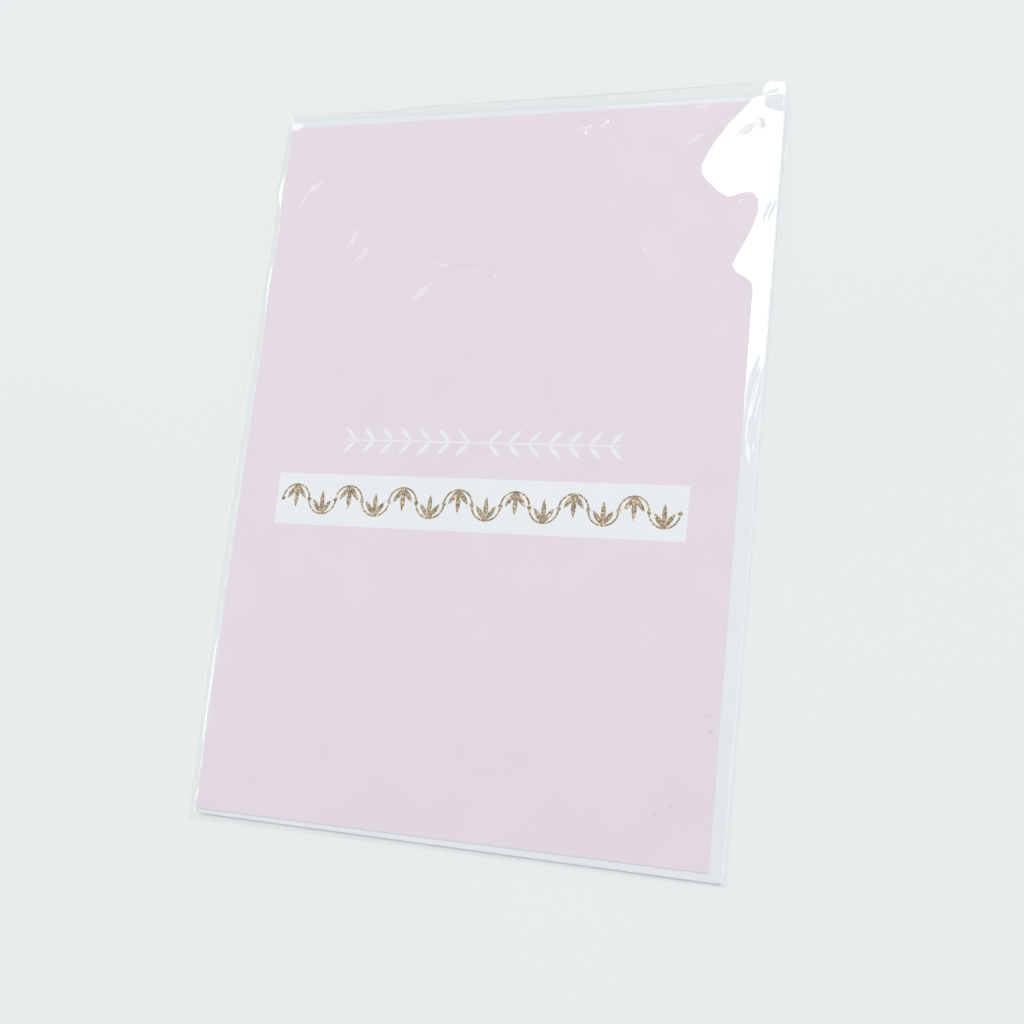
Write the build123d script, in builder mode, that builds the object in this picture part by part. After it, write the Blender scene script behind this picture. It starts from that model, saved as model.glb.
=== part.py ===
from build123d import *
import math
import os

# A postcard packed for sale: the printed card lies on its folded envelope, and both are held in a clear
# film sleeve. The pack lies on its back: +X is the card's right, +Y its top and +Z its printed face.
# The origin is the middle of the pack's outline, on the surface that it lies on. Lengths are in mm.

# Card
card_width = 122.0
card_height = 173.0
card_thickness = 0.40
card_corner = 0.4
ink_thickness = 0.02

# Print: a white band below the middle of the card, and a sprig of leaves above it
band_side_margin = 10.3
band_height = 12.65
band_drop = 11.1
sprig_rise = 3.8
sprig_length = 68.0
sprig_stem = 0.40
sprig_leaf_length = 4.6
sprig_leaf_width = 1.05
sprig_leaf_angle = 47.0
sprig_pairs_each_side = 6

# Foil garland in the band: a scrolling stem with berries, and a spray of leaves in each of its bends
garland_end_gap = 1.7
garland_stem = 0.42
garland_leaf_length = 5.6
garland_side_leaf_length = 4.2
garland_leaf_width = 1.15
garland_side_leaf_angle = 35.0
garland_berry_radius = 0.52
garland_bends = 14

# Envelope: one folded sheet of paper
envelope_room = 3.0
paper = 0.13
pocket_gap = 0.03
side_flap_depth = 20.0
back_panel_depth = 98.0
closing_flap_depth = 68.0
flap_inset = 1.2
flap_taper = 6.0
flap_corner = 5.0
flap_tip_radius = 9.0

# Sleeve: one folded and side-welded film
sleeve_room_across = 5.0
sleeve_room_along = 5.4
film = 0.05
weld_width = 0.35
weld_bead_width = 0.22
weld_bead_height = 0.03
top_fold_skew = 1.1
mouth_gap = 1.6
lip_depth = 32.0
lip_corner = 2.0
strip_thickness = 0.05
strip_width = 6.0
strip_end_gap = 4.0
strip_edge_gap = 3.0

# Where the loose contents lie in the sleeve, as shares of the room that they have, and how far they turn
card_place_shares = (-0.32, -0.38)
envelope_place_shares = (0.46, -0.59)
envelope_turn = -0.4

# Fits
slip = 0.02
drape_gap = 0.10

# Sizes worked out from the card outward
envelope_width = card_width + envelope_room
envelope_height = card_height + envelope_room
sleeve_width = envelope_width + sleeve_room_across
sleeve_height = envelope_height + sleeve_room_along
band_width = card_width - 2 * band_side_margin
garland_length = band_width - 2 * garland_end_gap

# Levels, from the surface that the pack lies on up to the film over the card
lip_top = film
back_film_low = lip_top + strip_thickness
cavity_floor = back_film_low + film
weld_top = cavity_floor + film
envelope_base = cavity_floor + slip
closing_flap_level = 0.0
back_panel_level = closing_flap_level + paper + pocket_gap
side_flap_level = back_panel_level + paper
front_panel_level = side_flap_level + paper + pocket_gap
envelope_thickness = front_panel_level + paper
envelope_top = envelope_base + envelope_thickness
card_base = envelope_top + slip
card_face = card_base + card_thickness
print_top = card_face + ink_thickness
cavity_top = print_top + slip

# Places of the contents
card_x = card_place_shares[0] * (sleeve_width - card_width) / 2
card_y = card_place_shares[1] * (sleeve_height - card_height) / 2
envelope_x = envelope_place_shares[0] * (sleeve_width - envelope_width) / 2
envelope_y = envelope_place_shares[1] * (sleeve_height - envelope_height) / 2
turn_cosine = math.cos(math.radians(envelope_turn))
turn_sine = math.sin(math.radians(envelope_turn))


def leaf_points(start, angle, length, width):
    """Base, the middle of one side, tip and the middle of the other side of a leaf."""
    along = Vector(math.cos(math.radians(angle)), math.sin(math.radians(angle)))
    across = Vector(-along.Y, along.X)
    base = Vector(*start)
    middle = base + along * length / 2
    return base, middle + across * width / 2, base + along * length, middle - across * width / 2


def fold_strip(base_plane, start, end, low, high, sheet):
    """Half-round fold of a sheet from one level to another, bulging to the right of start to end."""
    middle = (low + high) / 2
    radius = (high - low) / 2
    first = base_plane.from_local_coords(Vector(start[0], start[1], middle))
    last = base_plane.from_local_coords(Vector(end[0], end[1], middle))
    along = (last - first).normalized()
    with BuildPart() as fold:
        with BuildSketch(Plane(origin=first, x_dir=along.cross(base_plane.z_dir), z_dir=along)):
            Circle(radius)
            Circle(radius - sheet, mode=Mode.SUBTRACT)
            with Locations((-radius / 2, 0)):
                Rectangle(radius, 2 * radius, mode=Mode.SUBTRACT)
        extrude(amount=(last - first).length)
    return fold.part


# Card: a flat sheet of board
with BuildPart() as card:
    with BuildSketch(Plane.XY.offset(card_base)):
        with Locations((card_x, card_y)):
            RectangleRounded(card_width, card_height, card_corner)
    extrude(amount=card_thickness)

# Printed field: ink over the whole face, with the band and the sprig left open
band_y = card_y - band_drop
sprig_y = card_y + sprig_rise
leaf_pitch = sprig_length / 2 / (sprig_pairs_each_side + 1)
with BuildPart() as printed_field:
    with BuildSketch(Plane.XY.offset(card_face)):
        with Locations((card_x, card_y)):
            RectangleRounded(card_width, card_height, card_corner)
        with Locations((card_x, band_y)):
            Rectangle(band_width, band_height, mode=Mode.SUBTRACT)
        with Locations((card_x, sprig_y)):
            SlotOverall(sprig_length, sprig_stem, mode=Mode.SUBTRACT)
        for direction in (-1, 1):
            for pair in range(sprig_pairs_each_side + 1):
                for side in (-1, 1):
                    root = (card_x + direction * (pair + 0.5) * leaf_pitch, sprig_y)
                    lean = 90 - direction * (90 - sprig_leaf_angle)
                    points = leaf_points(root, side * lean, sprig_leaf_length, sprig_leaf_width)
                    with BuildLine():
                        ThreePointArc(points[0], points[1], points[2])
                        ThreePointArc(points[2], points[3], points[0])
                    make_face(mode=Mode.SUBTRACT)
    extrude(amount=ink_thickness)

# Foil garland: half circles to one side and the other, each with three leaves grown into it
bend_pitch = garland_length / garland_bends
bend_radius = bend_pitch / 2
garland_left = card_x - garland_length / 2
with BuildPart() as foil_garland:
    with BuildSketch(Plane.XY.offset(card_face)):
        for bend in range(garland_bends):
            side = 1 if bend % 2 == 0 else -1
            start = garland_left + bend * bend_pitch
            crest = (start + bend_radius, band_y + side * bend_radius)
            with BuildLine():
                ThreePointArc((start, band_y), crest, (start + bend_pitch, band_y))
            trace(line_width=garland_stem)
            for lean in (-1, 0, 1):
                angle = -side * 90 + lean * garland_side_leaf_angle
                length = garland_side_leaf_length if lean else garland_leaf_length
                points = leaf_points(crest, angle, length, garland_leaf_width)
                with BuildLine():
                    ThreePointArc(points[0], points[1], points[2])
                    ThreePointArc(points[2], points[3], points[0])
                make_face()
        for joint in range(garland_bends + 1):
            with Locations((garland_left + joint * bend_pitch, band_y)):
                Circle(garland_berry_radius)
    extrude(amount=ink_thickness)

# Envelope, on a plane of its own: its long sides stand along the card's, the opening is at its left
envelope_plane = Plane(
    origin=(envelope_x, envelope_y, envelope_base),
    x_dir=(turn_cosine, turn_sine, 0),
    z_dir=(0, 0, 1),
)
side_fold = (envelope_thickness - side_flap_level) / 2
back_fold = (envelope_thickness - back_panel_level) / 2
closing_fold = (envelope_thickness - closing_flap_level) / 2
panel_left = -envelope_width / 2 + closing_fold
panel_right = envelope_width / 2 - back_fold
panel_high = envelope_height / 2 - side_fold
panel_low = -panel_high

closing_fold_part = fold_strip(
    envelope_plane,
    (panel_left, panel_high - flap_inset),
    (panel_left, panel_low + flap_inset),
    closing_flap_level,
    envelope_thickness,
    paper,
)
back_fold_part = fold_strip(
    envelope_plane,
    (panel_right, panel_low + flap_inset),
    (panel_right, panel_high - flap_inset),
    back_panel_level,
    envelope_thickness,
    paper,
)
top_fold_part = fold_strip(
    envelope_plane,
    (panel_right - flap_inset, panel_high),
    (panel_left + flap_inset, panel_high),
    side_flap_level,
    envelope_thickness,
    paper,
)
bottom_fold_part = fold_strip(
    envelope_plane,
    (panel_left + flap_inset, panel_low),
    (panel_right - flap_inset, panel_low),
    side_flap_level,
    envelope_thickness,
    paper,
)

with BuildPart() as envelope:
    with BuildSketch(envelope_plane.offset(front_panel_level)):
        Polygon(
            (panel_left, panel_low),
            (panel_right, panel_low),
            (panel_right, panel_high),
            (panel_left, panel_high),
            align=None,
        )
    extrude(amount=paper)
    add(closing_fold_part)
    add(back_fold_part)
    add(top_fold_part)
    add(bottom_fold_part)
    # Side flaps, folded in from the top and the bottom edge
    with BuildSketch(envelope_plane.offset(side_flap_level)):
        for end in (-1, 1):
            Polygon(
                (panel_left + flap_inset, end * panel_high),
                (panel_right - flap_inset, end * panel_high),
                (panel_right - flap_inset - flap_taper, end * (panel_high - side_flap_depth)),
                (panel_left + flap_inset + flap_taper, end * (panel_high - side_flap_depth)),
                align=None,
            )
    extrude(amount=paper)
    # Back panel, folded over the side flaps and glued to them
    with BuildSketch(envelope_plane.offset(back_panel_level)) as back_panel:
        Polygon(
            (panel_right, panel_low + flap_inset),
            (panel_right, panel_high - flap_inset),
            (panel_right - back_panel_depth, panel_high - flap_inset - flap_taper),
            (panel_right - back_panel_depth, panel_low + flap_inset + flap_taper),
            align=None,
        )
        fillet(back_panel.vertices().group_by(Axis.X)[0], radius=flap_corner)
    extrude(amount=paper)
    # Closing flap, folded over and left unsealed, with a rounded point
    with BuildSketch(envelope_plane.offset(closing_flap_level)) as closing_flap:
        Polygon(
            (panel_left, panel_low + flap_inset),
            (panel_left + closing_flap_depth, 0),
            (panel_left, panel_high - flap_inset),
            align=None,
        )
        fillet(closing_flap.vertices().group_by(Axis.X)[-1], radius=flap_tip_radius)
    extrude(amount=paper)

# Outlines of the sleeve: left, right, bottom, top at the left and top at the right, all outward
fold_radius = weld_top / 2
edge_left = sleeve_width / 2
edge_right = sleeve_width / 2
edge_bottom = sleeve_height / 2
edge_top_right = sleeve_height / 2 - fold_radius
edge_top_left = edge_top_right - top_fold_skew
edges = (edge_left, edge_right, edge_bottom, edge_top_left, edge_top_right)
card_edges = (
    card_width / 2 - card_x,
    card_width / 2 + card_x,
    card_height / 2 - card_y,
    card_height / 2 + card_y,
    card_height / 2 + card_y,
)
envelope_reach_x = envelope_width / 2 * turn_cosine - envelope_height / 2 * turn_sine
envelope_reach_y = envelope_height / 2 * turn_cosine - envelope_width / 2 * turn_sine
envelope_edges = (
    envelope_reach_x - envelope_x,
    envelope_reach_x + envelope_x,
    envelope_reach_y - envelope_y,
    envelope_reach_y + envelope_y,
    envelope_reach_y + envelope_y,
)
shoulder_share = (cavity_top - envelope_top) / (cavity_top - cavity_floor)
plateau = [edge + drape_gap for edge in card_edges]
rim = [edge - weld_width for edge in edges]
# At the envelope's level the film runs straight from card to weld, or round the envelope's edge
shoulder = [
    max(high + (low - high) * shoulder_share, middle + drape_gap)
    for high, low, middle in zip(plateau, rim, envelope_edges)
]


def corner_points(outline, outset):
    """Corners of a sleeve outline, moved outward by the same length all round."""
    left, right, bottom, top_left, top_right = [edge + outset for edge in outline]
    return (-left, -bottom), (right, -bottom), (right, top_right), (-left, top_left)


# Space inside the sleeve: round the envelope below, and in over the card above
with BuildPart() as cavity:
    with BuildSketch(Plane.XY.offset(cavity_floor)):
        Polygon(*corner_points(rim, 0), align=None)
    with BuildSketch(Plane.XY.offset(envelope_top + slip)):
        Polygon(*corner_points(shoulder, 0), align=None)
    with BuildSketch(Plane.XY.offset(cavity_top)):
        Polygon(*corner_points(plateau, 0), align=None)
    loft(ruled=True)

lip_fold = fold_strip(
    Plane.XY,
    (edge_right, edge_top_right),
    (-edge_left, edge_top_left),
    0,
    weld_top,
    film,
)

with BuildPart() as sleeve:
    # Flat rim: folded at the bottom, welded at the sides
    with BuildSketch(Plane.XY.offset(back_film_low)):
        Polygon(*corner_points(edges, 0), align=None)
    extrude(amount=weld_top - back_film_low)
    # Film drawn over the contents
    with BuildSketch(Plane.XY.offset(weld_top)):
        Polygon(*corner_points(rim, film), align=None)
    with BuildSketch(Plane.XY.offset(envelope_top + slip + film)):
        Polygon(*corner_points(shoulder, film), align=None)
    with BuildSketch(Plane.XY.offset(cavity_top + film)):
        Polygon(*corner_points(plateau, film), align=None)
    loft(ruled=True)
    add(cavity.part, mode=Mode.SUBTRACT)
    # Mouth: the back film ends short of the top fold
    with BuildSketch(Plane.XY.offset(back_film_low)):
        Polygon(
            (-rim[0], rim[3] - mouth_gap),
            (rim[1], rim[4] - mouth_gap),
            (rim[1], edge_top_right),
            (-rim[0], edge_top_left),
            align=None,
        )
    extrude(amount=film, mode=Mode.SUBTRACT)
    # Beads that the side welds leave
    with BuildSketch(Plane.XY.offset(weld_top)):
        for side in (-1, 1):
            side_top = edge_top_left if side < 0 else edge_top_right
            Polygon(
                (side * edge_right, -edge_bottom),
                (side * edge_right, side_top),
                (side * (edge_right - weld_bead_width), side_top),
                (side * (edge_right - weld_bead_width), -edge_bottom),
                align=None,
            )
    extrude(amount=weld_bead_height)
    # Lip: over the top fold and down the back
    add(lip_fold)
    with BuildSketch(Plane.XY) as lip:
        Polygon(
            (edge_right, edge_top_right),
            (-edge_left, edge_top_left),
            (-edge_left, edge_top_left - lip_depth),
            (edge_right, edge_top_right - lip_depth),
            align=None,
        )
        fillet(lip.vertices().group_by(Axis.Y)[0] + lip.vertices().group_by(Axis.Y)[1], radius=lip_corner)
    extrude(amount=film)

# Strip of adhesive between the lip and the back film
strip_low_left = edge_top_left - lip_depth + strip_edge_gap
strip_low_right = edge_top_right - lip_depth + strip_edge_gap
with BuildPart() as seal_strip:
    with BuildSketch(Plane.XY.offset(lip_top)):
        Polygon(
            (-edge_left + strip_end_gap, strip_low_left),
            (edge_right - strip_end_gap, strip_low_right),
            (edge_right - strip_end_gap, strip_low_right + strip_width),
            (-edge_left + strip_end_gap, strip_low_left + strip_width),
            align=None,
        )
    extrude(amount=strip_thickness)

os.makedirs("parts", exist_ok=True)
card.part.label = "card"
export_step(card.part, "parts/card.step")
printed_field.part.label = "printed_field"
export_step(printed_field.part, "parts/printed_field.step")
foil_garland.part.label = "foil_garland"
export_step(foil_garland.part, "parts/foil_garland.step")
envelope.part.label = "envelope"
export_step(envelope.part, "parts/envelope.step")
sleeve.part.label = "sleeve"
export_step(sleeve.part, "parts/sleeve.step")
seal_strip.part.label = "seal_strip"
export_step(seal_strip.part, "parts/seal_strip.step")
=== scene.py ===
import math

import bpy
import numpy as np
from mathutils import Matrix, Vector


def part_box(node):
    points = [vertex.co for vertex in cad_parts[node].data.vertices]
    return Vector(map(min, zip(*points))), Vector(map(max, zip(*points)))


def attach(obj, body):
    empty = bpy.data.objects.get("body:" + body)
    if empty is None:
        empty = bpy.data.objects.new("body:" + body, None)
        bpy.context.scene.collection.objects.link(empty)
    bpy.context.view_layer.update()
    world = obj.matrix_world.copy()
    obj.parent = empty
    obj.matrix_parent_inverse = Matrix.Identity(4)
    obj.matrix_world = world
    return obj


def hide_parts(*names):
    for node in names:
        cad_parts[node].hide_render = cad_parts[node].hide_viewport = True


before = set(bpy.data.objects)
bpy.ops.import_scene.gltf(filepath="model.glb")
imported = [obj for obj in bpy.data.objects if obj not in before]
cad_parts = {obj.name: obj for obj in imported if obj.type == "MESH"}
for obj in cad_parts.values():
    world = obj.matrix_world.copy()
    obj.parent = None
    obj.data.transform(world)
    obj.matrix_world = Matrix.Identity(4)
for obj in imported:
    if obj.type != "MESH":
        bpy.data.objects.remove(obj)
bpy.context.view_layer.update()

# Lengths in this script are in millimetres, and MM brings them to Blender's metres.
MM = 0.001


def box_mm(node):
    """Lowest and highest corner of a CAD node in millimetres."""
    low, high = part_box(node)
    return low / MM, high / MM


card_low, card_high = box_mm("card")
print_top = box_mm("printed_field")[1].z
envelope_low, envelope_high = box_mm("envelope")
sleeve_low, sleeve_high = box_mm("sleeve")
card_middle = (card_low + card_high) / 2

# Camera, as fitted to the edges of the card, its band and the envelope in the photograph
camera_place = Vector((109.9, -69.9, 287.8))
camera_aim = Vector((8.7, -13.9, 1.2))
camera_roll = math.radians(6.04)
camera_lens = 47.5

# Sleeve: one film, from its mouth down the back, up over the card, over the top and down as the lip.
# Its levels are those of the middle of the film, and its insets are where its folds begin, in from the
# CAD box.
mouth_gap = 1.95
lip_depth = 32.0
lip_corner = 2.0
lip_level = 0.025
back_level = 0.125
front_level = 0.185
film_lift = 0.045
drape_gap = 0.12
top_inset = 0.1
bottom_inset = 0.05
fold_round = 0.09
fold_angles = (30, 60, 90, 120, 150)

# Width of the flat rim of the front at the left and at the bottom, and at the right
rim_width = 0.35
right_rim_width = 0.06

# How far the cloudy strip of a weld reaches in, at the left side (-1) and at the right side (1). The right
# strip is widened to the envelope's edge, where its milky colour is painted light over the envelope's shadow
weld_and_painted_light_reach = {-1: 0.48, 1: 1.0}
weld_end_gap = 0.1
weld_lift = 0.010
weld_bead_height = 0.03
weld_bead_place = 0.2
weld_bead_width = 0.12

# The envelope leans a little to the right of the card
envelope_turn = math.radians(0.4)

# Over the top the film rises to the envelope and to the card at these distances from the fold
top_shoulder_reach = 1.9
top_plateau_reach = 4.2

# How softly the film bends over the edges of the contents, and how slack it is in from its edges.
# Each wave of the slack has a length, a height, a heading in degrees and a start.
edge_round = 0.06
corner_round = 0.04
corner_facet_round = 0.05
slack = 0.085
slack_reach = 12.0
slack_waves = (
    (61, 0.030, 32, 0.4),
    (43, 0.024, -48, 1.9),
    (29, 0.014, 71, 4.1),
    (23, 0.010, 12, 2.7),
    (17, 0.006, -25, 0.9),
)

# Lifts of the welded edges: reach in from the edge, base, strength at each side and in the back film,
# and waves along the edge, each with a length, a height and a start
edge_lift_reach = 1.6
edge_lift_base = 0.06
edge_lift_left = 0.35
edge_lift_right = 0.8
back_lift_share = 0.9
edge_waves = (
    (37, 0.06, 0.3),
    (13.7, 0.05, 1.1),
    (6.1, 0.035, 2.0),
    (3.7, 0.02, 0.2),
)

# The pull on a side fades towards the middle: it goes with this power of the distance from there
pull_power = 8


def crests(along, waves):
    """Sum of sines: each wave has a length, a height and a start."""
    total = np.zeros_like(along)
    for length, height, start in waves:
        total += height * np.sin(2 * math.pi * along / length + start)
    return total


def ripples(x, y, waves):
    """Sum of sines over the sheet: each wave has a length, a height, a heading in degrees and a start."""
    total = np.zeros_like(x)
    for length, height, heading, start in waves:
        along = x * math.cos(math.radians(heading)) + y * math.sin(math.radians(heading))
        total += height * np.sin(2 * math.pi * along / length + start)
    return total


def soft_min(one, two, width):
    """The lower of two heights, rounded where they meet."""
    near = np.maximum(width - np.abs(one - two), 0)
    return np.minimum(one, two) - near * near / (4 * width)


def rise(distance, steps):
    """Height along straight runs in from a side. The last run goes on rising."""
    reach, height = zip(*steps)
    slope = (height[-1] - height[-2]) / (reach[-1] - reach[-2])
    inner = np.maximum(distance - reach[-1], 0) * slope
    return np.interp(distance, reach, height) + inner


# How far the sleeve's outline stands in from its box: at the top fold from left to right, and at its
# left and right sides from bottom to top. Places are from the middle of the box.
top_fold_drop = (
    (-65, 0.9),
    (-54, 1.4),
    (-44, 1.8),
    (-36, 1.9),
    (-31, 1.5),
    (-25, 1.2),
    (-10, 1.2),
    (8, 1.05),
    (28, 0.95),
    (42, 0.7),
    (60, 0.35),
    (65, 0.1),
)
left_side_pull = (
    (-90, 0.3),
    (-84, -0.1),
    (-70, -0.3),
    (-52, -0.4),
    (-38, -0.8),
    (-26, -0.8),
    (-8, -0.5),
    (8, -0.3),
    (24, 0.0),
    (39, -0.25),
    (48, 0.05),
    (56, 0.3),
    (68, -0.2),
    (77, 0.05),
    (84, 0.5),
    (90, 0.85),
)
right_side_pull = (
    (-90, 0.45),
    (-80, 0.38),
    (-66, 0.4),
    (-52, 0.15),
    (-30, 0.05),
    (10, 0.15),
    (50, 0.1),
    (80, 0.22),
    (86, 0.3),
    (90, 0.7),
)


def along_points(places, points):
    """Values between given points."""
    at, value = zip(*points)
    return np.interp(places, at, value)


def top_edge(x):
    """Where the sleeve's top fold lies. The lip is folded over a little askew."""
    return sleeve_high.y - top_inset - along_points(x, top_fold_drop)


# The buckle at the upper right: inside this outline the film is one flat facet that faces the lamp.
# Points are on the card, right and up from its middle.
buckle_outline = (
    (72.0, 83.8),
    (65.4, 84.0),
    (62.0, 84.4),
    (60.4, 84.8),
    (60.2, 87.8),
    (58.6, 87.4),
    (56.8, 85.2),
    (52.6, 80.2),
    (49.2, 74.9),
    (47.3, 70.7),
    (47.1, 69.0),
    (48.1, 67.0),
    (49.9, 65.3),
    (51.6, 63.8),
    (52.9, 63.0),
    (54.2, 62.8),
    (55.6, 63.1),
    (57.0, 63.7),
    (58.2, 64.1),
    (59.3, 63.9),
    (60.3, 63.0),
    (61.1, 61.6),
    (61.5, 59.6),
    (59.2, 53.3),
    (56.2, 46.9),
    (56.1, 46.0),
    (56.5, 45.1),
    (57.4, 44.3),
    (59.0, 43.4),
    (60.4, 42.3),
    (61.4, 41.0),
    (62.0, 39.5),
    (72.0, 39.5),
)
buckle_slope = 0.085
buckle_fall = 0.34
buckle_end = 61.1
buckle_foot = 0.4
buckle_soft = 0.002
buckle_top_reach = 3.0

# Small dents in the buckle and below it, each with its middle on the card, half length, half width,
# heading in degrees and depth
dents = (
    (57.0, 79.4, 1.8, 0.7, 36, 0.2),
    (60.2, 80.8, 1.4, 0.7, -48, 0.16),
    (62.8, 89.2, 1.6, 0.4, -25, 0.12),
    (63.6, 59.4, 2.6, 0.55, 72, 0.22),
    (62.9, 17.0, 5.5, 0.55, 82, 0.16),
    (64.5, 16.4, 4.6, 0.6, 84, 0.12),
    (63.6, 7.0, 6.5, 1.3, 90, 0.12),
)

# Crumpled facets at the sleeve's upper right corner: outline on the card, height at corner_start and
# fall to the right
corner_facets = (
    (
        ((60.7, 84.7), (66.0, 84.4), (66.0, 86.6), (63.6, 87.2), (60.9, 87.2)),
        1.25,
        0.0,
    ),
    (
        ((59.8, 87.6), (60.4, 89.9), (61.6, 91.3), (66.0, 91.3), (66.0, 88.6), (63.8, 87.9)),
        1.14,
        0.08,
    ),
)
corner_start = 61
corner_fall = 0.9
corner_rim_slope = 1.6
far_below = -9.0

# Width of the gently falling shelf of film beside the card's left edge, from bottom to top of the card
left_shelf = (
    (-86, 0.0),
    (-85, 0.5),
    (-82, 0.0),
    (-73, 0.0),
    (-71, 0.55),
    (-60, 0.62),
    (-47, 0.55),
    (-45, 0.0),
    (38, 0.0),
    (40, 0.55),
    (48, 0.65),
    (51, 0.0),
    (63, 0.0),
    (66, 0.8),
    (69.5, 1.3),
    (72.5, 0.7),
    (74.5, 0.0),
    (79, 0.0),
    (82, 0.25),
    (84, 0.0),
)
shelf_slope = 0.15

# Sharp creases that whiten the film, their milky colour partly real whitening and partly a painted glint:
# points on the card, height, half width and number of fine strands
whitening_and_glint_creases = (
    (((-55.6, 63.9), (-54.9, 66.4), (-53.9, 68.4)), 0.02, 0.28, 1),
    (((-53.9, 68.2), (-52.0, 69.9), (-49.9, 71.1)), 0.05, 0.7, 1),
    (((-41.3, 53.1), (-39.3, 55.4), (-37.9, 58.2)), 0.04, 0.3, 2),
    (((-39.1, 48.8), (-36.5, 51.0), (-34.0, 53.7)), 0.04, 0.26, 2),
    (((-22.0, 39.4), (-19.4, 41.0), (-16.5, 42.8)), 0.04, 0.26, 3),
    (((-16.4, 48.3), (-14.6, 48.1), (-12.8, 47.7)), 0.04, 0.3, 1),
    (((35.1, 51.1), (36.2, 49.6)), 0.01, 0.22, 1),
    (((16.7, 81.7), (17.9, 82.1), (19.6, 82.2), (19.9, 82.8)), 0.06, 0.42, 1),
    (((18.4, 81.6), (18.4, 80.0)), 0.03, 0.32, 1),
    (((21.0, 81.1), (23.3, 83.0), (23.9, 83.8), (22.4, 84.0)), 0.04, 0.36, 1),
    (((43.2, 76.1), (46.3, 78.6), (48.3, 78.9)), 0.04, 0.34, 1),
    (((48.1, 78.9), (50.8, 80.7), (54.1, 83.3)), 0.03, 0.24, 1),
    (((44.7, 85.2), (46.2, 85.7), (47.8, 85.8)), 0.03, 0.28, 1),
    (((59.8, 87.6), (60.4, 89.9), (61.6, 91.3), (65.4, 91.4)), 0.06, 0.4, 1),
    (((-62.4, -80.4), (-62.3, -81.8), (-62.1, -83.2)), 0.02, 0.24, 1),
    (((-63.3, -47.3), (-63.0, -50.0), (-62.8, -52.3)), 0.05, 0.24, 1),
    (((-33.7, 90.0), (-33.0, 90.2), (-32.2, 90.1)), 0.03, 0.3, 1),
    (((-32.2, 89.7), (-29.6, 90.2), (-26.4, 90.6)), 0.03, 0.22, 1),
)

# Dents in the buckle, with a milky grey over them that is a painted reflection of the room the dented film
# mirrors
dents_painted_reflection = (
    (((54.6, 77.5), (57.0, 79.3), (59.4, 81.0)), 0.01, 0.9, 1),
    (((58.7, 82.4), (60.2, 80.8), (61.6, 79.2)), 0.01, 1.0, 1),
)

# Painted glints: creases whose milky white stands in for reflections of the lamps, so bright that they are
# quite white
painted_glint_creases = (
    (((-62.3, 90.9), (-62.0, 89.8), (-61.5, 88.3), (-61.0, 87.0)), 0.06, 0.4, 1),
    (((-61.8, 86.6), (-60.4, 86.8), (-58.0, 87.2)), 0.08, 1.0, 1),
    (((61.75, 23.0), (61.3, 15.6), (61.4, 11.0)), 0.01, 0.25, 1),
    (
        ((64.4, 22.6), (63.6, 18.5), (63.1, 15.2), (62.6, 11.9), (62.1, 9.2), (62.1, 5.8), (62.4, 3.0)),
        0.01,
        0.24,
        1,
    ),
    (((62.3, 5.6), (62.8, 3.0), (63.0, 0.6)), 0.01, 0.46, 1),
    (((64.9, 10.4), (64.7, 8.1), (64.5, 6.2)), 0.01, 0.3, 1),
    (((-63.2, -57.6), (-62.8, -63.1), (-62.3, -68.4)), 0.01, 0.2, 1),
    (((-61.2, -74.9), (-61.1, -77.1)), 0.01, 0.24, 1),
    (((-61.0, -81.9), (-61.1, -83.4), (-61.3, -85.1)), 0.01, 0.32, 1),
    (((-61.6, -85.2), (-61.4, -86.5), (-61.0, -87.7)), 0.01, 0.32, 1),
)

# Sharp creases that bend light away and show as fine darker lines; the darkness is painted shade, a tint in
# what the film lets through
painted_shade_creases = (
    (((-12.9, 47.7), (-9.0, 47.65), (-5.4, 47.6)), 0.05, 0.24, 1),
    (((-5.8, 47.6), (-0.3, 47.1)), 0.03, 0.16, 1),
    (((-0.7, 46.2), (-0.5, 43.7)), 0.04, 0.24, 1),
    (((11.6, 48.7), (12.9, 46.2), (14.7, 43.8)), 0.02, 0.16, 1),
    (((57.6, -54.4), (59.1, -54.3)), 0.03, 0.22, 1),
    (((58.6, -58.3), (59.3, -57.9), (60.2, -57.1)), 0.04, 0.24, 1),
    (((48.6, -75.3), (49.3, -76.4)), 0.03, 0.22, 1),
    (((51.9, -73.3), (52.1, -74.5)), 0.04, 0.28, 1),
    (((43.6, -79.7), (45.3, -79.3)), 0.02, 0.2, 1),
    (((61.6, 90.4), (62.2, 89.5), (63.1, 88.8), (64.6, 88.7)), 0.05, 0.3, 1),
    (((66.0, 76.6), (66.0, 72.7)), 0.03, 0.3, 1),
    (
        ((-50.0, 90.35), (-42.7, 90.1), (-34.7, 90.0), (-29.7, 90.4), (-23.7, 90.7), (-15.0, 90.7)),
        0.01,
        0.24,
        1,
    ),
    (((-19.0, 90.7), (-8.7, 90.7), (9.3, 90.85), (29.3, 90.95), (43.3, 91.2), (58.0, 91.5)), 0.01, 0.24, 1),
)

# Making of the creases: spacing of points along them, least number of points, rounds of easing and the
# shape across and along them. The strands of one crease lie strand_spacing half widths apart, start and
# stop in turn, by shares of its length, and wander a little.
crease_step = 0.22
crease_least_points = 8
crease_easing_rounds = 6
crease_across = np.array((-1.0, -0.66, -0.33, 0.0, 0.33, 0.66, 1.0))
crease_lift = 0.004
crease_sharpness = 1.3
crease_taper = 0.6
crease_narrowest = 0.05
strand_spacing = 2.1
strand_start = 0.16
strand_stop = 0.14
strand_wander = 0.07


def distance_to_run(x, y, start, end):
    """Distance from points to a straight run."""
    run_x = end[0] - start[0]
    run_y = end[1] - start[1]
    length_squared = run_x**2 + run_y**2
    share = np.clip(((x - start[0]) * run_x + (y - start[1]) * run_y) / length_squared, 0, 1)
    return np.hypot(x - start[0] - share * run_x, y - start[1] - share * run_y)


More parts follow.
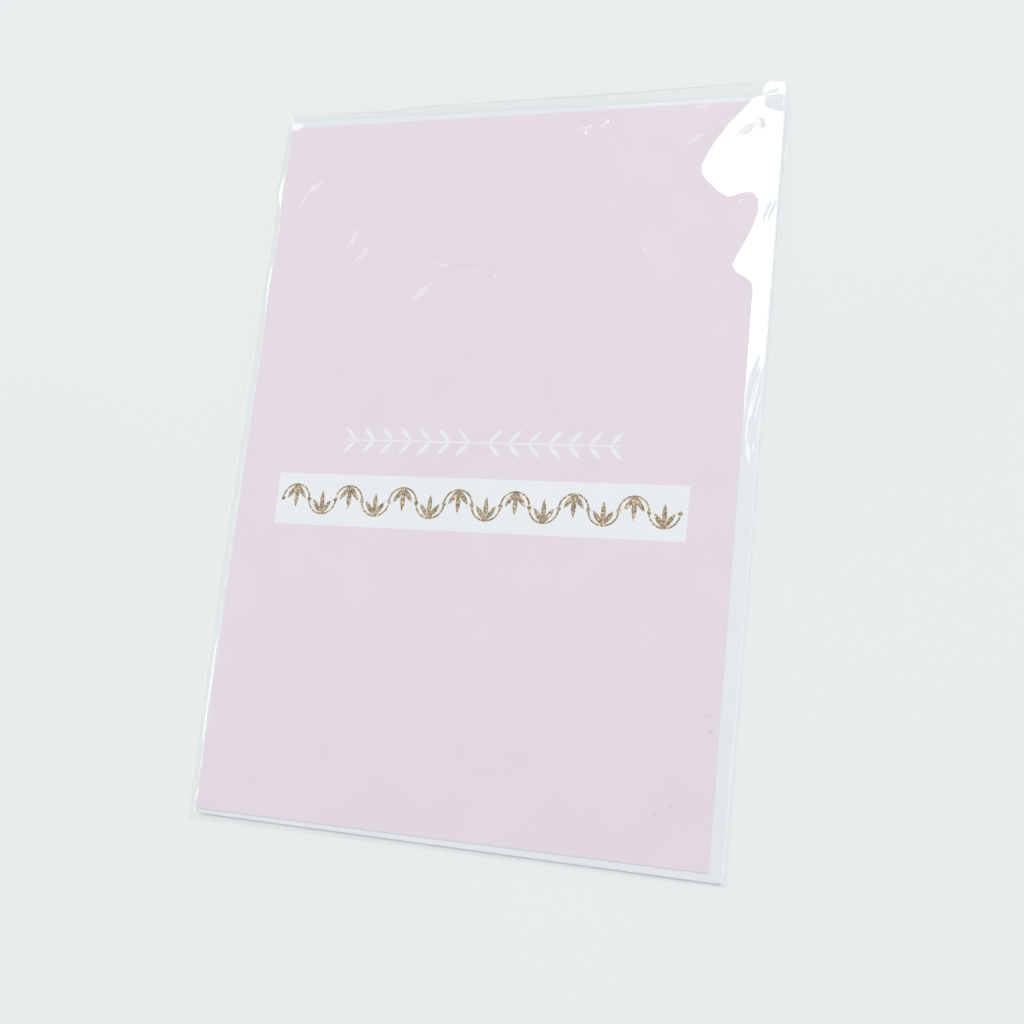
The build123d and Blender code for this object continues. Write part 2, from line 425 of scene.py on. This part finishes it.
def distance_outside(x, y, outline):
    """Distance from points to a closed outline, and 0 inside it."""
    nearest = np.full_like(x, math.inf)
    inside = np.zeros_like(x, dtype=bool)
    for start, end in zip(outline, outline[1:] + outline[:1]):
        nearest = np.minimum(nearest, distance_to_run(x, y, start, end))
        crosses = (start[1] > y) != (end[1] > y)
        if start[1] != end[1]:
            meets = start[0] + (y - start[1]) / (end[1] - start[1]) * (end[0] - start[0])
            inside ^= crosses & (x < meets)
    return np.where(inside, 0, nearest)


def buckle(x, y):
    """Height that the buckle adds to the film."""
    across = x - card_middle.x
    upward = y - card_middle.y
    outside = distance_outside(across, upward, buckle_outline)
    rounded = np.sqrt(outside * outside + buckle_foot**2) - buckle_foot
    height = buckle_slope * (buckle_end - across) - buckle_fall * rounded
    near_top = np.clip((top_edge(x) - y) / buckle_top_reach, 0, 1)
    return (height + np.sqrt(height * height + buckle_soft)) / 2 * near_top


def dented(x, y):
    """Depth of the dents."""
    across = x - card_middle.x
    upward = y - card_middle.y
    total = np.zeros_like(x)
    for middle_x, middle_y, half_length, half_width, heading, depth in dents:
        turn = math.radians(heading)
        along = (across - middle_x) * math.cos(turn) + (upward - middle_y) * math.sin(turn)
        beside = (upward - middle_y) * math.cos(turn) - (across - middle_x) * math.sin(turn)
        total += depth * np.exp(-((along / half_length) ** 2) - (beside / half_width) ** 2)
    return total


def fall_to_left(x, y, plateau, rim):
    """Film height at the left margin: a gentle shelf beside the card, then a steeper run to the rim."""
    outward = card_low.x - drape_gap - x
    reach = card_low.x - drape_gap - sleeve_low.x - rim_width
    shelf = along_points(y - card_middle.y, left_shelf)
    gentle = shelf_slope * np.minimum(outward, shelf)
    steep = np.clip((outward - shelf) / (reach - shelf), 0, 1)
    return plateau - gentle - steep * (plateau - rim - shelf_slope * shelf)


def corner_height(x, y, edge):
    """Height of the crumpled facets at the upper right corner, and very low elsewhere."""
    across = x - card_middle.x
    upward = y - card_middle.y
    highest = np.full_like(x, far_below)
    for outline, height, fall in corner_facets:
        outside = distance_outside(across, upward, outline)
        facet = height - fall * (across - corner_start) - corner_fall * outside
        highest = np.maximum(highest, facet)
    return np.minimum(highest, front_level + corner_rim_slope * edge)


def lean(y):
    """How far the envelope's right edge stands in from its top corner, because the envelope is turned."""
    return (envelope_high.y - y) * math.tan(envelope_turn)


def front_height(x, y):
    """Middle of the front film, draped over the card and the envelope."""
    rim = front_level
    plateau = print_top + film_lift
    shoulder = envelope_high.z + film_lift
    right = sleeve_high.x - right_rim_width
    low = -sleeve_low.y - rim_width
    shoulder_right = envelope_high.x + drape_gap - lean(y)
    shoulder_low = -envelope_low.y + drape_gap
    plateau_right = card_high.x + drape_gap
    level = np.full_like(x, plateau)
    from_left = fall_to_left(x, y, plateau, rim)
    from_right = np.where(
        x > shoulder_right,
        rim + (shoulder - rim) * np.maximum(right - x, 0) / (right - shoulder_right),
        shoulder + (plateau - shoulder) * (shoulder_right - x) / (shoulder_right - plateau_right),
    )
    from_low = rise(
        y + low,
        ((0, rim), (low - shoulder_low, shoulder), (low + card_low.y - drape_gap, plateau)),
    )
    top = top_edge(x)
    from_top = rise(
        top - y,
        ((0, rim), (top_shoulder_reach, shoulder), (top_plateau_reach, plateau)),
    )
    sides = soft_min(soft_min(from_left, from_right, edge_round), level, corner_round)
    ends = soft_min(soft_min(from_low, from_top, edge_round), level, corner_round)
    draped = soft_min(sides, ends, corner_round)
    edge = np.minimum(sleeve_high.x - rim_width - np.abs(x), np.minimum(y + low, top - y))
    inward = np.clip(edge / slack_reach, 0, 1) ** 2
    loose = draped + (slack + ripples(x, y, slack_waves)) * inward + buckle(x, y)
    return -soft_min(-loose, -corner_height(x, y, edge), corner_facet_round) - dented(x, y)


def edge_lift(x, y):
    """Small lifts of the welded edges, strongest at the very edge."""
    side = sleeve_high.x - np.abs(x)
    near = np.exp(-np.clip(side, 0, None) / edge_lift_reach)
    waves = crests(y + 3 * np.sign(x), edge_waves)
    share = np.where(x < 0, edge_lift_left, edge_lift_right)
    return share * near * np.maximum(waves + edge_lift_base, 0)


def side_pull(x, y):
    """Places across the sleeve after its sides are drawn in or out."""
    pull = np.where(x < 0, along_points(y, left_side_pull), along_points(y, right_side_pull))
    return x - np.sign(x) * pull * (np.abs(x) / sleeve_high.x) ** pull_power


def grid_lines(stops):
    """Positions along one axis: each stop gives where a stretch ends and the spacing in it."""
    lines = [stops[0][0]]
    for (start, _), (end, spacing) in zip(stops, stops[1:]):
        count = max(1, round((end - start) / spacing))
        lines += [start + (end - start) * step / count for step in range(1, count + 1)]
    return np.array(lines)


def strip_faces(start, rows, wide, turned):
    """Faces of a grid of points that starts at a number, turned over when its points run the other way."""
    faces = []
    for row in range(rows - 1):
        for column in range(wide - 1):
            first = start + row * wide + column
            face = (first, first + 1, first + wide + 1, first + wide)
            faces.append(face[::-1] if turned else face)
    return faces


def mesh_object(name, points, faces, material):
    """A smooth mesh object from points in millimetres."""
    mesh = bpy.data.meshes.new(name)
    mesh.from_pydata((np.asarray(points) * MM).tolist(), [], faces)
    mesh.materials.append(material)
    for polygon in mesh.polygons:
        polygon.use_smooth = True
    mesh.update()
    piece = bpy.data.objects.new(name, mesh)
    bpy.context.scene.collection.objects.link(piece)
    return piece


def sleeve_rows(columns):
    """Rows of the film, each a line across the sleeve, from the mouth round to the lip's free edge."""
    rows = []
    bottom = np.full_like(columns, sleeve_low.y + bottom_inset)
    top = top_edge(columns)
    mouth = top - mouth_gap
    for share in grid_lines(((0.0, 0), (0.04, 0.01), (0.96, 0.03), (1.0, 0.01))):
        y = mouth + (bottom - mouth) * share
        lift = edge_lift(columns, y) * back_lift_share
        rows.append((side_pull(columns, y), y, back_level + lift))
    for angle in fold_angles:
        turn = math.radians(angle)
        y = bottom - fold_round * math.sin(turn)
        middle = (back_level + front_level) / 2
        half = (front_level - back_level) / 2
        lift = edge_lift(columns, y)
        rows.append((side_pull(columns, y), y, middle - half * math.cos(turn) + lift))
    for share in grid_lines(((0.0, 0), (0.03, 0.0025), (0.70, 0.0058), (0.96, 0.0030), (1.0, 0.0022))):
        y = bottom + (top - bottom) * share
        lift = edge_lift(columns, y)
        rows.append((side_pull(columns, y), y, front_height(columns, y) + lift))
    for angle in fold_angles:
        turn = math.radians(angle)
        y = top + fold_round * math.sin(turn)
        middle = (lip_level + front_level) / 2
        half = (front_level - lip_level) / 2
        rows.append((side_pull(columns, y), y, np.full_like(columns, middle + half * math.cos(turn))))
    for share in grid_lines(((0.0, 0), (0.92, 0.1), (1.0, 0.01))):
        y = top - lip_depth * share
        left_over = lip_depth * (1 - share)
        cut = lip_corner - math.sqrt(max(lip_corner**2 - max(lip_corner - left_over, 0) ** 2, 0))
        narrow = 1 - cut / sleeve_high.x
        rows.append((side_pull(columns, y) * narrow, y, np.full_like(columns, lip_level)))
    return rows


def build_sleeve(material):
    """The folded film as one sheet. At 0.05 mm its two faces are one surface here."""
    columns = grid_lines(
        (
            (sleeve_low.x, 0),
            (sleeve_low.x + 4, 0.125),
            (sleeve_high.x - 24, 0.66),
            (sleeve_high.x - 6, 0.5),
            (sleeve_high.x - 1.2, 0.3),
            (sleeve_high.x, 0.1),
        )
    )
    rows = sleeve_rows(columns)
    points = np.concatenate([np.stack(row, axis=1) for row in rows])
    faces = strip_faces(0, len(rows), len(columns), False)
    return mesh_object("sleeve_film", points, faces, material)


def crease_path(points):
    """Evenly spaced places along given points, with the corners eased."""
    corners = np.array(points, dtype=float)
    reach = np.concatenate(([0], np.cumsum(np.hypot(*np.diff(corners, axis=0).T))))
    count = max(crease_least_points, round(reach[-1] / crease_step))
    at = np.linspace(0, reach[-1], count)
    path = np.stack((np.interp(at, reach, corners[:, 0]), np.interp(at, reach, corners[:, 1])), axis=1)
    for _ in range(crease_easing_rounds):
        path[1:-1] = (path[:-2] + 2 * path[1:-1] + path[2:]) / 4
    return path


def build_creases(name, creases, material):
    """Sharp creases: thin ridges that rise out of the front film."""
    points = []
    faces = []
    profile = np.maximum(1 - crease_across**2, 0) ** crease_sharpness
    for corners, height, half_width, strands in creases:
        full_path = crease_path(corners)
        heading = np.gradient(full_path, axis=0)
        heading /= np.linalg.norm(heading, axis=1)[:, None]
        beside = np.stack((-heading[:, 1], heading[:, 0]), axis=1)
        for strand in range(strands):
            begin = int(strand_start * strand * len(full_path))
            stop = int((1 - strand_stop * (strands - 1 - strand)) * len(full_path))
            path = full_path[begin:stop]
            sideways = beside[begin:stop]
            share = np.linspace(0, 1, stop - begin)
            taper = np.sin(math.pi * share) ** crease_taper
            shift = (strand - (strands - 1) / 2) * strand_spacing * half_width
            middle = shift + strand_wander * np.sin(9 * share + 2 * strand)
            width = half_width * np.maximum(taper, crease_narrowest)
            offset = middle[:, None] + width[:, None] * crease_across
            x = (path[:, 0, None] + sideways[:, 0, None] * offset).ravel() + card_middle.x
            y = (path[:, 1, None] + sideways[:, 1, None] * offset).ravel() + card_middle.y
            ridge = height * (taper[:, None] * profile).ravel()
            z = front_height(2 * x - side_pull(x, y), y) + crease_lift + ridge
            faces += strip_faces(len(points), stop - begin, len(crease_across), True)
            points += list(zip(x, y, z))
    return mesh_object(name, points, faces, material)


def build_welds(material):
    """The welded sides: cloudy strips with a slight bead. The right one reaches the envelope's edge, where
    its milky colour is painted light over the envelope's shade and shadow.
    """
    points = []
    faces = []
    inward = grid_lines(((0, 0), (0.1, 0.02), (0.16, 0.03), (0.2, 0.04), (0.6, 0.05)))
    for side in (-1, 1):
        top = float(top_edge(np.array([side * sleeve_high.x]))[0]) - weld_end_gap
        y = grid_lines(((sleeve_low.y + weld_end_gap, 0), (top, 0.6)))[:, None] + 0 * inward
        width = weld_and_painted_light_reach[side] + crests(y, ((5.3, 0.05, side), (2.1, 0.03, 0.4)))
        # The right strip follows the envelope's lean, painting light over its shadow
        if side > 0:
            width = width + lean(y)
        reach = inward * width / inward[-1]
        x = side * (sleeve_high.x - reach)
        bead = weld_bead_height * np.exp(-(((reach - weld_bead_place) / weld_bead_width) ** 2))
        unevenness = crests(y, ((7.9, 0.004, side), (3.3, 0.002, 1.4)))
        z = front_height(x, y) + edge_lift(x, y) + weld_lift + bead + unevenness
        faces += strip_faces(len(points), len(y), len(inward), side < 0)
        points += list(zip(side_pull(x, y).ravel(), y.ravel(), z.ravel()))
    return mesh_object("side_welds", points, faces, material)


# Paper and ink
paper_gloss = 0.35
paper_cloud_scale = 90
board_low = (0.86, 0.871, 0.89)
board_high = (0.885, 0.9, 0.92)
pink_low = (0.808, 0.712, 0.767)
pink_high = (0.828, 0.732, 0.787)
envelope_paper_low = (0.806, 0.838, 0.872)
envelope_paper_high = (0.835, 0.868, 0.903)

# Gold foil. Its darkest and brightest flake colours are painted shade and painted sparkle.
flake_scale = 3200
flake_lean = 0.12
foil_roughness = 0.38
foil_painted_shade = (0.12, 0.075, 0.045)
foil_dark = (0.36, 0.265, 0.165)
foil_light = (0.55, 0.43, 0.27)
foil_painted_sparkle = (0.92, 0.8, 0.52)

# Film
film_roughness = 0.035
halo_roughness = 0.5
film_turn_power = 5
film_ripple_scale = 700
film_ripple_height = 0.004
adhesive_tint = (0.97, 0.97, 0.96)
sleeve_tint = (0.970, 0.974, 0.972)
thin_tint = (0.99, 0.995, 0.995)
painted_shade_tint = (0.925, 0.915, 0.915)
cool_milk = (0.86, 0.88, 0.89)
weld_and_painted_light_milk = (0.90, 0.925, 0.925)
whitening_and_glint_milk = (0.99, 0.955, 0.95)
painted_glint_white = (0.99, 0.99, 0.99)
painted_reflection_grey = (0.90, 0.95, 0.92)

# Floor and room. The floor lies just under the pack, so that no face of one is in a face of the other.
floor_cloud_scale = 3
floor_low = (0.84, 0.875, 0.868)
floor_high = (0.865, 0.90, 0.894)
floor_side = 6
floor_level = -0.00006
room_colour = (0.97, 0.985, 1.0)
room_strength = 0.745


def new_material(name):
    """An empty node material with its output."""
    material = bpy.data.materials.new(name)
    material.use_nodes = True
    nodes = material.node_tree.nodes
    nodes.clear()
    output = nodes.new("ShaderNodeOutputMaterial")
    return material, nodes, material.node_tree.links, output


def noise_field(nodes, links, scale, detail, place):
    """Noise in object coordinates. Its scale is in cycles for each metre."""
    texture = nodes.new("ShaderNodeTexNoise")
    texture.inputs["Scale"].default_value = scale
    texture.inputs["Detail"].default_value = detail
    links.new(place, texture.inputs["Vector"])
    return texture.outputs["Fac"]


def tinted(nodes, links, factor, low, high):
    """Colour ramp between two colours."""
    ramp = nodes.new("ShaderNodeValToRGB")
    ramp.color_ramp.elements[0].position = 0.3
    ramp.color_ramp.elements[1].position = 0.7
    ramp.color_ramp.elements[0].color = (*low, 1)
    ramp.color_ramp.elements[1].color = (*high, 1)
    links.new(factor, ramp.inputs["Fac"])
    return ramp.outputs["Color"]


def bumped(nodes, links, height, distance, strength):
    """Bump normal from a height field."""
    bump = nodes.new("ShaderNodeBump")
    bump.inputs["Distance"].default_value = distance
    bump.inputs["Strength"].default_value = strength
    links.new(height, bump.inputs["Height"])
    return bump.outputs["Normal"]


def paper_material(name, low, high, roughness, grain_scale, grain_height):
    """Matt paper or ink: faint cloudiness in its colour and a fine fibre grain, its height in millimetres."""
    material, nodes, links, output = new_material(name)
    place = nodes.new("ShaderNodeTexCoord").outputs["Object"]
    shader = nodes.new("ShaderNodeBsdfPrincipled")
    shader.inputs["Roughness"].default_value = roughness
    shader.inputs["Specular IOR Level"].default_value = paper_gloss
    clouds = noise_field(nodes, links, paper_cloud_scale, 4, place)
    links.new(tinted(nodes, links, clouds, low, high), shader.inputs["Base Color"])
    grain = noise_field(nodes, links, grain_scale, 5, place)
    links.new(bumped(nodes, links, grain, grain_height * MM, 1), shader.inputs["Normal"])
    links.new(shader.outputs["BSDF"], output.inputs["Surface"])
    return material


def foil_material():
    """Glittering gold foil: small flakes that differ in colour and in lean. Its darkest flakes are painted
    shade and its brightest are painted sparkle.
    """
    material, nodes, links, output = new_material("gold_foil")
    place = nodes.new("ShaderNodeTexCoord").outputs["Object"]
    flakes = nodes.new("ShaderNodeTexVoronoi")
    flakes.inputs["Scale"].default_value = flake_scale
    links.new(place, flakes.inputs["Vector"])
    split = nodes.new("ShaderNodeSeparateColor")
    links.new(flakes.outputs["Color"], split.inputs["Color"])
    ramp = nodes.new("ShaderNodeValToRGB")
    stops = ramp.color_ramp.elements
    # The ramp runs from painted shade in its first stop to painted sparkle in its last
    stops[0].position = 0.0
    stops[0].color = (*foil_painted_shade, 1)
    stops[1].position = 1.0
    stops[1].color = (*foil_painted_sparkle, 1)
    stops.new(0.45).color = (*foil_dark, 1)
    stops.new(0.8).color = (*foil_light, 1)
    links.new(split.outputs["Red"], ramp.inputs["Fac"])
    shader = nodes.new("ShaderNodeBsdfPrincipled")
    shader.inputs["Metallic"].default_value = 1.0
    shader.inputs["Roughness"].default_value = foil_roughness
    links.new(ramp.outputs["Color"], shader.inputs["Base Color"])
    links.new(bumped(nodes, links, split.outputs["Green"], flake_lean * MM, 0.8), shader.inputs["Normal"])
    links.new(shader.outputs["BSDF"], output.inputs["Surface"])
    return material


def film_material(name, tint, face_gloss, edge_gloss, blur, haze, milk_colour):
    """Film that mirrors more as it turns away, lets the rest through and blurs a little of the light.

    The tint is what it lets through, the glosses are what it mirrors head-on and at its edge, blur is the
    share of its wide halo, and haze is the share of its milky colour.
    """
    material, nodes, links, output = new_material(name)
    place = nodes.new("ShaderNodeTexCoord").outputs["Object"]
    clear = nodes.new("ShaderNodeBsdfTransparent")
    clear.inputs["Color"].default_value = (*tint, 1)
    mirror = nodes.new("ShaderNodeBsdfGlossy")
    mirror.inputs["Roughness"].default_value = film_roughness
    mirror.inputs["Color"].default_value = (1, 1, 1, 1)
    fine = noise_field(nodes, links, film_ripple_scale, 3, place)
    links.new(bumped(nodes, links, fine, film_ripple_height * MM, 1), mirror.inputs["Normal"])
    turned = nodes.new("ShaderNodeLayerWeight")
    turned.inputs["Blend"].default_value = 0.5
    steep = nodes.new("ShaderNodeMath")
    steep.operation = "POWER"
    steep.inputs[1].default_value = film_turn_power
    links.new(turned.outputs["Facing"], steep.inputs[0])
    share = nodes.new("ShaderNodeMapRange")
    share.inputs["To Min"].default_value = face_gloss
    share.inputs["To Max"].default_value = edge_gloss
    links.new(steep.outputs["Value"], share.inputs["Value"])
    gloss = nodes.new("ShaderNodeMixShader")
    links.new(share.outputs["Result"], gloss.inputs["Fac"])
    links.new(clear.outputs["BSDF"], gloss.inputs[1])
    links.new(mirror.outputs["BSDF"], gloss.inputs[2])
    halo = nodes.new("ShaderNodeBsdfGlossy")
    halo.inputs["Roughness"].default_value = halo_roughness
    halo.inputs["Color"].default_value = (1, 1, 1, 1)
    spread = nodes.new("ShaderNodeMixShader")
    spread.inputs["Fac"].default_value = blur
    links.new(gloss.outputs["Shader"], spread.inputs[1])
    links.new(halo.outputs["BSDF"], spread.inputs[2])
    milk = nodes.new("ShaderNodeBsdfDiffuse")
    milk.inputs["Color"].default_value = (*milk_colour, 1)
    mist = nodes.new("ShaderNodeMixShader")
    mist.inputs["Fac"].default_value = haze
    links.new(spread.outputs["Shader"], mist.inputs[1])
    links.new(milk.outputs["BSDF"], mist.inputs[2])
    links.new(mist.outputs["Shader"], output.inputs["Surface"])
    return material


def floor_material():
    """Plain pale floor with a very slight cloudiness."""
    material, nodes, links, output = new_material("pale_floor")
    place = nodes.new("ShaderNodeTexCoord").outputs["Object"]
    shader = nodes.new("ShaderNodeBsdfDiffuse")
    clouds = noise_field(nodes, links, floor_cloud_scale, 2, place)
    links.new(tinted(nodes, links, clouds, floor_low, floor_high), shader.inputs["Color"])
    links.new(shader.outputs["BSDF"], output.inputs["Surface"])
    return material


def softbox(name, direction, distance, size, radiance, turn=0.0):
    """An even rectangular lamp that faces the middle of the pack. Its radiance is what a mirror shows."""
    lamp = bpy.data.lights.new(name, "AREA")
    lamp.shape = "RECTANGLE"
    lamp.size, lamp.size_y = size
    lamp.energy = radiance * math.pi * size[0] * size[1]
    holder = bpy.data.objects.new(name, lamp)
    bpy.context.scene.collection.objects.link(holder)
    toward = Vector(direction).normalized()
    holder.location = toward * distance
    level = Vector((0, 1, 0))
    side = level.cross(toward).normalized()
    up = toward.cross(side)
    facing = Matrix((side, up, toward)).transposed().to_4x4()
    holder.matrix_world = Matrix.Translation(holder.location) @ facing @ Matrix.Rotation(turn, 4, "Z")
    return holder


# Materials of paper and ink: name, colours, roughness, grain in cycles for each metre and grain height
board = paper_material("board", board_low, board_high, 0.75, 5200, 0.012)
pink = paper_material("pink_ink", pink_low, pink_high, 0.6, 5200, 0.008)
writing_paper = paper_material("envelope_paper", envelope_paper_low, envelope_paper_high, 0.85, 3600, 0.02)
gold = foil_material()

# Materials of film: name, tint, gloss head-on, gloss at its edge, blur, haze and milky colour
tacky = film_material("adhesive", adhesive_tint, 0.03, 0.9, 0.02, 0.06, cool_milk)
clear_film = film_material("clear_film", sleeve_tint, 0.05, 0.9, 0.028, 0.006, cool_milk)
# Cloudy weld colour, on the right side also painted light over the envelope's shadow
weld_and_painted_light_film = film_material("weld_and_painted_light_film", thin_tint, 0.01, 0.25, 0.02, 0.6, weld_and_painted_light_milk)
# Milky crease colour: partly real whitening of the film, partly painted glint
whitening_and_glint_film = film_material("whitening_and_glint_film", thin_tint, 0.05, 0.5, 0.06, 0.3, whitening_and_glint_milk)
# Milky white that paints glints
painted_glint_film = film_material("painted_glint_film", thin_tint, 0.05, 0.5, 0.1, 0.9, painted_glint_white)
# Milky grey that paints the reflection in the dents
painted_reflection_film = film_material("painted_reflection_film", thin_tint, 0.0, 0.01, 0.0, 0.5, painted_reflection_grey)
# Tint that paints the shade of the dark creases
painted_shade_film = film_material("painted_shade_film", painted_shade_tint, 0.03, 0.4, 0.01, 0.0, cool_milk)

# The pieces that keep their CAD form
for node, material in (
    ("card", board),
    ("printed_field", pink),
    ("envelope", writing_paper),
    ("foil_garland", gold),
    ("seal_strip", tacky),
):
    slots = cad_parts[node].data.materials
    slots.clear()
    slots.append(material)

# The pieces of the sleeve. They take no light away from what they cover.
for piece in (
    build_sleeve(clear_film),
    build_creases("whitened_and_glint_creases", whitening_and_glint_creases, whitening_and_glint_film),
    build_creases("painted_glint_creases", painted_glint_creases, painted_glint_film),
    build_creases("dents_painted_reflection", dents_painted_reflection, painted_reflection_film),
    build_creases("painted_shade_creases", painted_shade_creases, painted_shade_film),
    build_welds(weld_and_painted_light_film),
):
    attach(piece, "root")
    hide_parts("sleeve")
    piece.visible_shadow = False
    piece.visible_diffuse = False

# Floor
bpy.ops.mesh.primitive_plane_add(size=floor_side, location=(0, 0, floor_level))
floor = bpy.context.object
floor.name = "pale_floor"
floor.data.materials.append(floor_material())

# Light: an even pale room, a large soft lamp beyond the top of the card that the buckle mirrors, a weak
# one further out, and one at the left that only makes glints
world = bpy.data.worlds.new("room")
bpy.context.scene.world = world
world.use_nodes = True
background = world.node_tree.nodes["Background"]
background.inputs["Color"].default_value = (*room_colour, 1)
background.inputs["Strength"].default_value = room_strength
softbox("upper_right_lamp", (0.16, 1.01, 2.0), 2.25, (0.58, 0.76), 8.65, math.radians(15))
softbox("far_lamp", (-0.10, 1.62, 2.0), 2.6, (1.1, 0.22), 2.1)
left_lamp = softbox("left_lamp", (-1.33, 0.33, 1.15), 1.8, (0.28, 1.0), 7)
left_lamp.visible_diffuse = False

# Camera
place = camera_place * MM
look = (camera_aim * MM - place).normalized()
right = look.cross(Vector((0, 1, 0))).normalized()
above = right.cross(look)
camera = bpy.data.objects.new("camera", bpy.data.cameras.new("camera"))
bpy.context.scene.collection.objects.link(camera)
camera.data.lens = camera_lens
camera.data.clip_start = 0.01
axes = Matrix((right, above, -look)).transposed().to_4x4()
camera.matrix_world = Matrix.Translation(place) @ axes @ Matrix.Rotation(camera_roll, 4, "Z")
bpy.context.scene.camera = camera
bpy.context.scene.view_settings.view_transform = "Standard"
